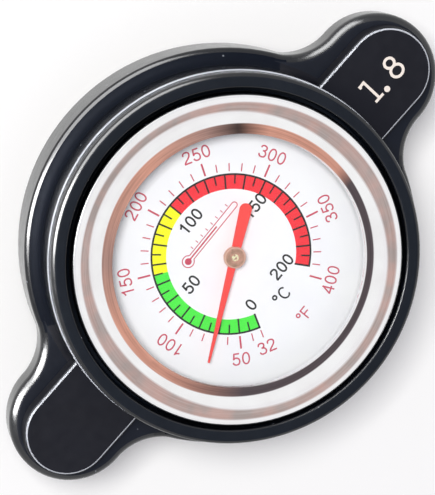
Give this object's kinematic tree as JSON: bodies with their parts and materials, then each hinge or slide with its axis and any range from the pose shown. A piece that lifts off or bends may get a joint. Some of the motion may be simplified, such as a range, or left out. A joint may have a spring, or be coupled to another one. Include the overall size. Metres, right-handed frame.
{
  "type": "radiator cap gauge",
  "caption": "Two-eared screw-down radiator cap with a dial thermometer in its top, a stem down through its middle, and a sprung pressure and vacuum valve below.",
  "frame": {"origin": "on the cap's axis, in the plane of the filler neck's upper seat, on which the neck gasket bears", "axes": "+Z out of the dial, +X along the ear that carries the number, +Y towards the dial's upper side"},
  "size_m": [0.0766, 0.0526, 0.0292],
  "materials": {
    "anodised_cover": "black anodised, satin, with bright worn edges",
    "plated_steel": "zinc plated pressed steel",
    "bare_steel": "bare steel",
    "spring_steel": "drawn spring steel",
    "rubber": "moulded black rubber",
    "polished_bezel": "polished stainless steel, rolled",
    "gauge_glass": "clear flat glass",
    "white_ring": "white plastic",
    "dial_white": "white lacquer with printed scales",
    "brass": "turned brass",
    "brass_tube": "drawn brass tube",
    "pointer_red": "red lacquer",
    "hub_copper": "copper coloured turned cap"
  },
  "bodies": {
    "cap": {"cap_body": "anodised_cover", "neck_shell": "plated_steel", "shell_rivets": "bare_steel", "diaphragm": "spring_steel", "neck_gasket": "rubber", "gauge_case": "bare_steel", "gauge_bezel": "polished_bezel", "gauge_glass": "gauge_glass", "glass_gasket": "rubber", "dial_spacer": "white_ring", "dial_plate": "dial_white", "dial_support_ring": "bare_steel", "stem_fitting": "brass", "stem_nut": "brass", "stem_tube": "brass_tube", "stem_plug": "brass", "spindle_bearing": "brass", "valve_cage": "plated_steel", "pressure_spring": "spring_steel"},
    "pointer_movement": {"spindle": "bare_steel", "bimetal_coil": "spring_steel", "coil_collar": "brass", "pointer": "pointer_red", "pointer_hub": "hub_copper"},
    "pressure_unit": {"valve_cup": "plated_steel", "pressure_plate": "bare_steel", "pressure_seal": "rubber", "vacuum_spring": "spring_steel"},
    "vacuum_unit": {"vacuum_valve": "brass", "shank_ring": "rubber", "vacuum_clip": "spring_steel"}
  },
  "joints": [
    {"name": "pointer_turn", "type": "hinge", "parent": "cap", "child": "pointer_movement", "pos_m": [0, 0, 0.0085], "axis": [0, 0, -1], "range_deg": [-34.6, 266.8], "stiffness_Nm_per_rad": 0.00001},
    {"name": "pressure_valve_lift", "type": "slide", "parent": "cap", "child": "pressure_unit", "axis": [0, 0, 1], "range_m": [0, 0.003], "stiffness_N_per_m": 600, "springref_m": -0.002, "deforming": ["pressure_spring"]},
    {"name": "vacuum_valve_drop", "type": "slide", "parent": "pressure_unit", "child": "vacuum_unit", "axis": [0, 0, -1], "range_m": [0, 0.0012], "stiffness_N_per_m": 30, "springref_m": -0.002, "deforming": ["vacuum_spring"]}
  ]
}
